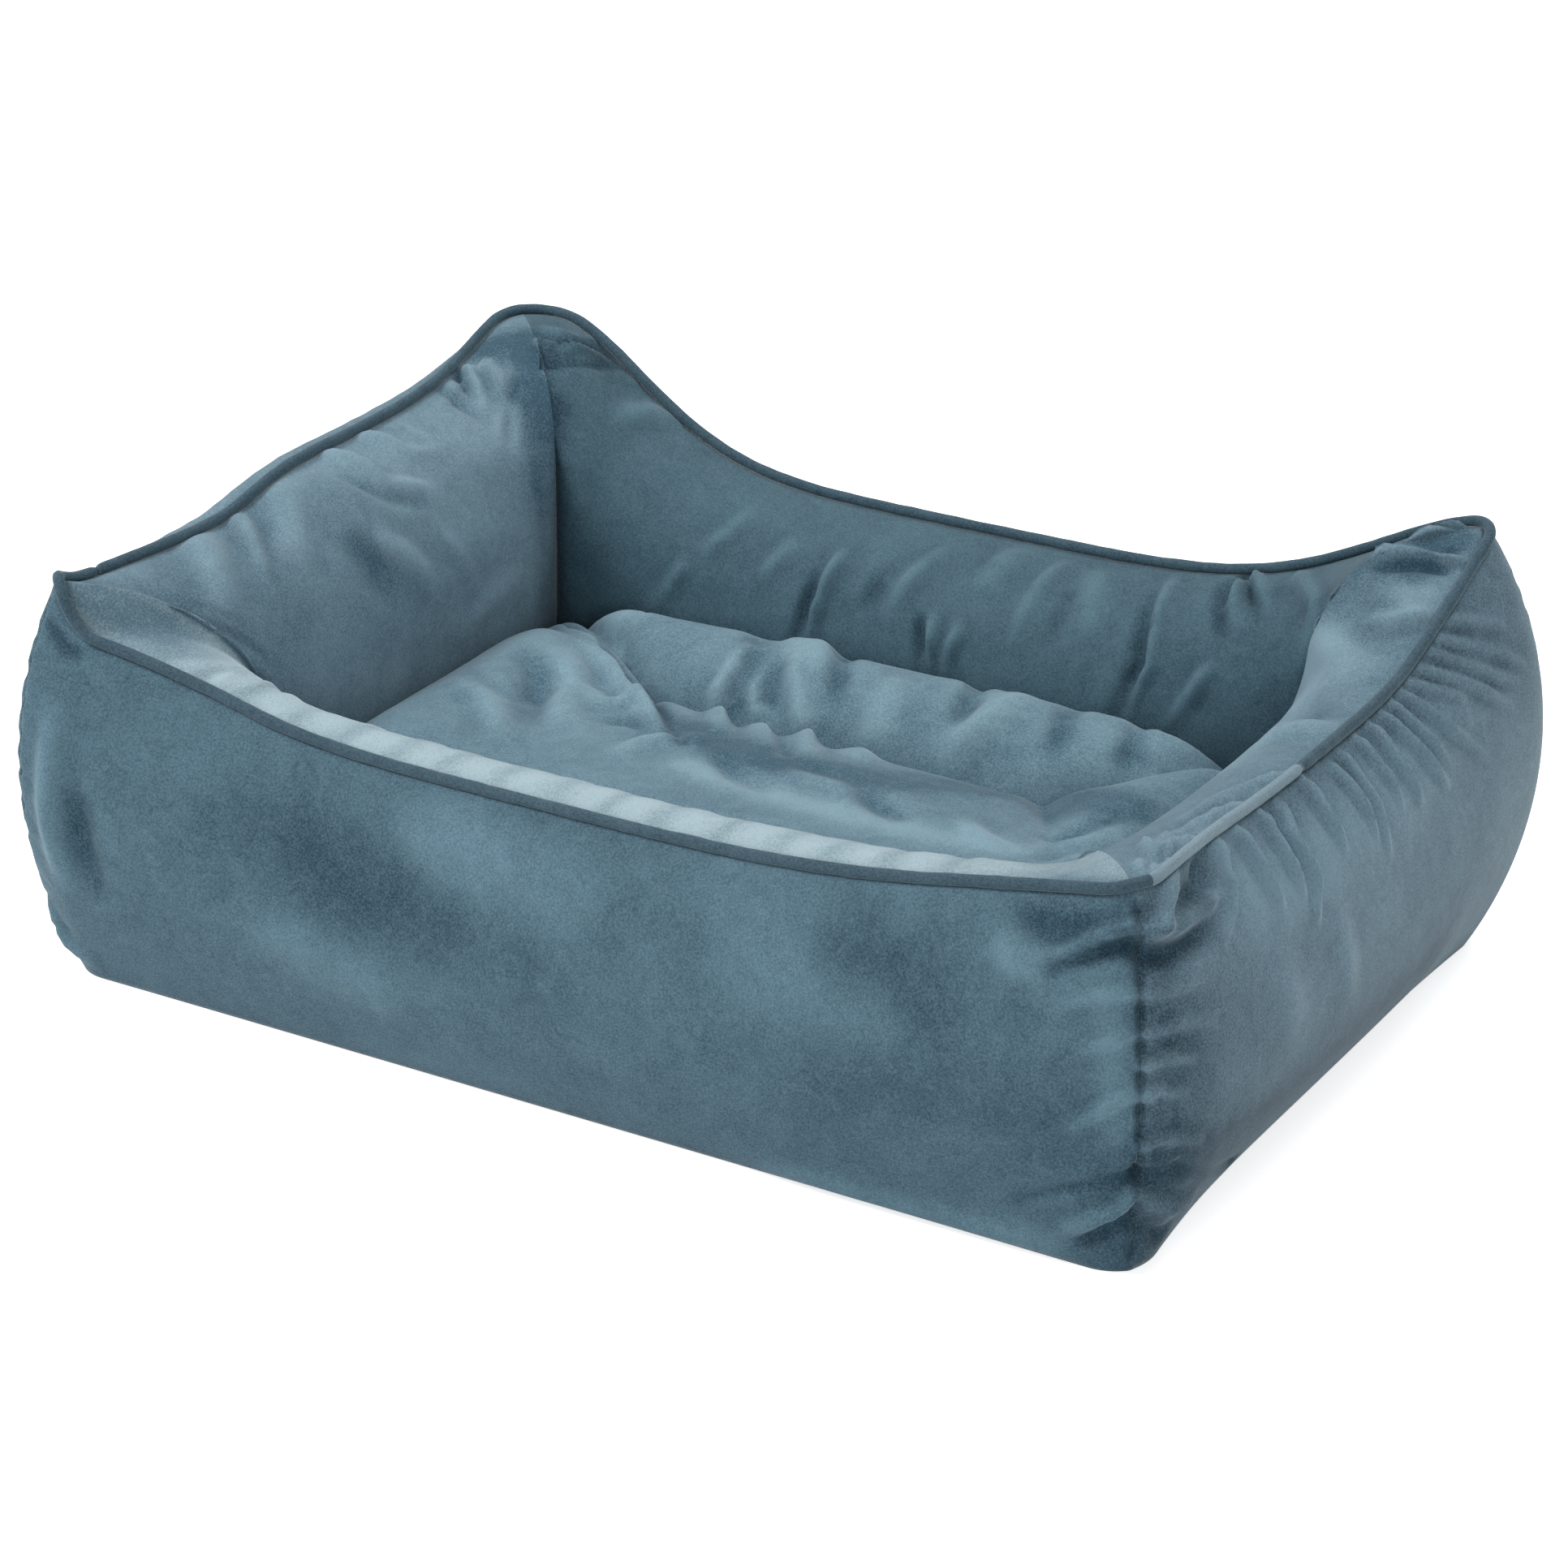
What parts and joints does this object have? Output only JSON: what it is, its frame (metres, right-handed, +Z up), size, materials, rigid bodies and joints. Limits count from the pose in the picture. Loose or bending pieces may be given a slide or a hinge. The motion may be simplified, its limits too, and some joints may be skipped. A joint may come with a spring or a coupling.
{
  "type": "dog sofa bed",
  "caption": "Rectangular velvet pet bed with a soft raised wall all round, dipping at the front, a piped rim and a loose puffed cushion that lifts out.",
  "frame": {"origin": "on the floor, under the middle of the base cloth", "axes": "+X along the long front wall to the right, +Y from the low front wall to the back wall, +Z up"},
  "size_m": [0.798, 0.5534, 0.2976],
  "materials": {
    "velvet": "matte",
    "piping_velvet": "matte",
    "non_slip_cloth": "matte",
    "fibre_fill": "matte",
    "cotton_cord": "matte",
    "zip_tape": "matte",
    "zip_coil": "satin",
    "zip_metal": "satin"
  },
  "bodies": {
    "bed": {"non_slip_base": "non_slip_cloth", "floor_lining": "velvet", "front_outer_panel": "velvet", "front_inner_panel": "velvet", "front_wall_fill": "fibre_fill", "right_outer_panel": "velvet", "right_inner_panel": "velvet", "right_wall_fill": "fibre_fill", "back_outer_panel": "velvet", "back_inner_panel": "velvet", "back_wall_fill": "fibre_fill", "left_outer_panel": "velvet", "left_inner_panel": "velvet", "left_wall_fill": "fibre_fill", "front_piping_cover": "piping_velvet", "front_piping_cord": "cotton_cord", "rear_piping_cover": "piping_velvet", "rear_piping_cord": "cotton_cord"},
    "cushion": {"cushion_top_cover": "velvet", "cushion_bottom_cover": "velvet", "cushion_fill": "fibre_fill", "upper_zip_tape": "zip_tape", "lower_zip_tape": "zip_tape", "upper_zip_coil": "zip_coil", "lower_zip_coil": "zip_coil", "zip_end_stops": "zip_metal"},
    "zip_slider": {"zip_slider": "zip_metal"},
    "zip_pull": {"zip_pull": "zip_metal"}
  },
  "joints": [
    {"name": "cushion_lift", "type": "slide", "parent": "bed", "child": "cushion", "axis": [0, 0, 1], "range_m": [0, 0.32]},
    {"name": "zip_slide", "type": "slide", "parent": "cushion", "child": "zip_slider", "axis": [-1, 0, 0], "range_m": [0, 0.388]},
    {"name": "zip_pull_swing", "type": "hinge", "parent": "zip_slider", "child": "zip_pull", "pos_m": [0.194, 0.1581, 0.05], "axis": [0, 0, -1], "range_deg": [0, 30]}
  ]
}
